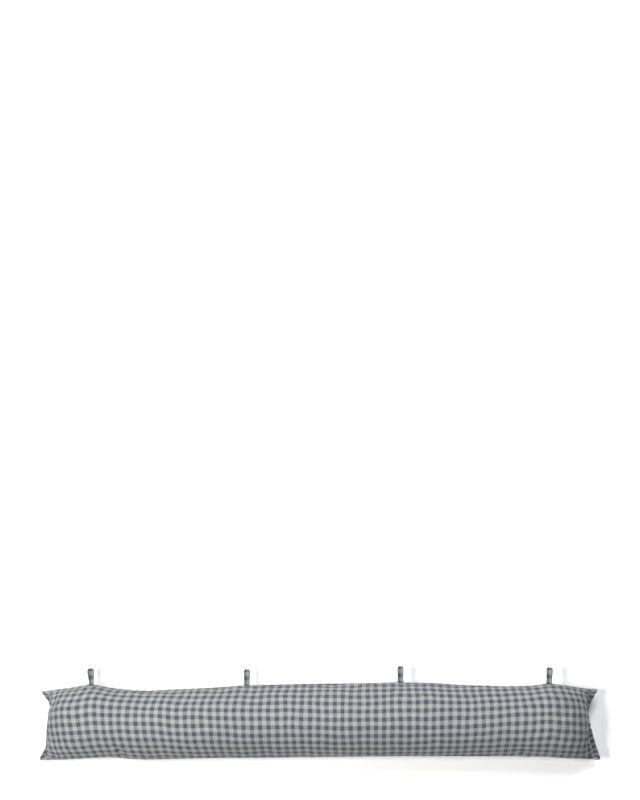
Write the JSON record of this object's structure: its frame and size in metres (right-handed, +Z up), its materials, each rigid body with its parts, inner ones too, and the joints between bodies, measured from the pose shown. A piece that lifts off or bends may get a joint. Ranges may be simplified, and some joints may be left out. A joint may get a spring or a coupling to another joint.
{
  "type": "draught excluder",
  "caption": "Long stuffed draught excluder cushion of checked cloth that lies at the foot of a door, with cloth hanging loops in one long seam.",
  "frame": {"origin": "middle of the cushion's underside, on the surface that it lies on", "axes": "+Z up from the surface, +X along the cushion, +Y towards the long seam that holds the loops"},
  "size_m": [0.9, 0.1518, 0.0951],
  "materials": {
    "cover_cloth": "matt plain-woven cotton in a small blue-grey and off-white check",
    "loop_tape": "matt plain-woven cotton, the cover's own cloth folded into a flat tape"
  },
  "bodies": {
    "root": {"cushion": "cover_cloth", "loop_1": "loop_tape", "loop_2": "loop_tape", "loop_3": "loop_tape", "loop_4": "loop_tape"}
  },
  "joints": []
}
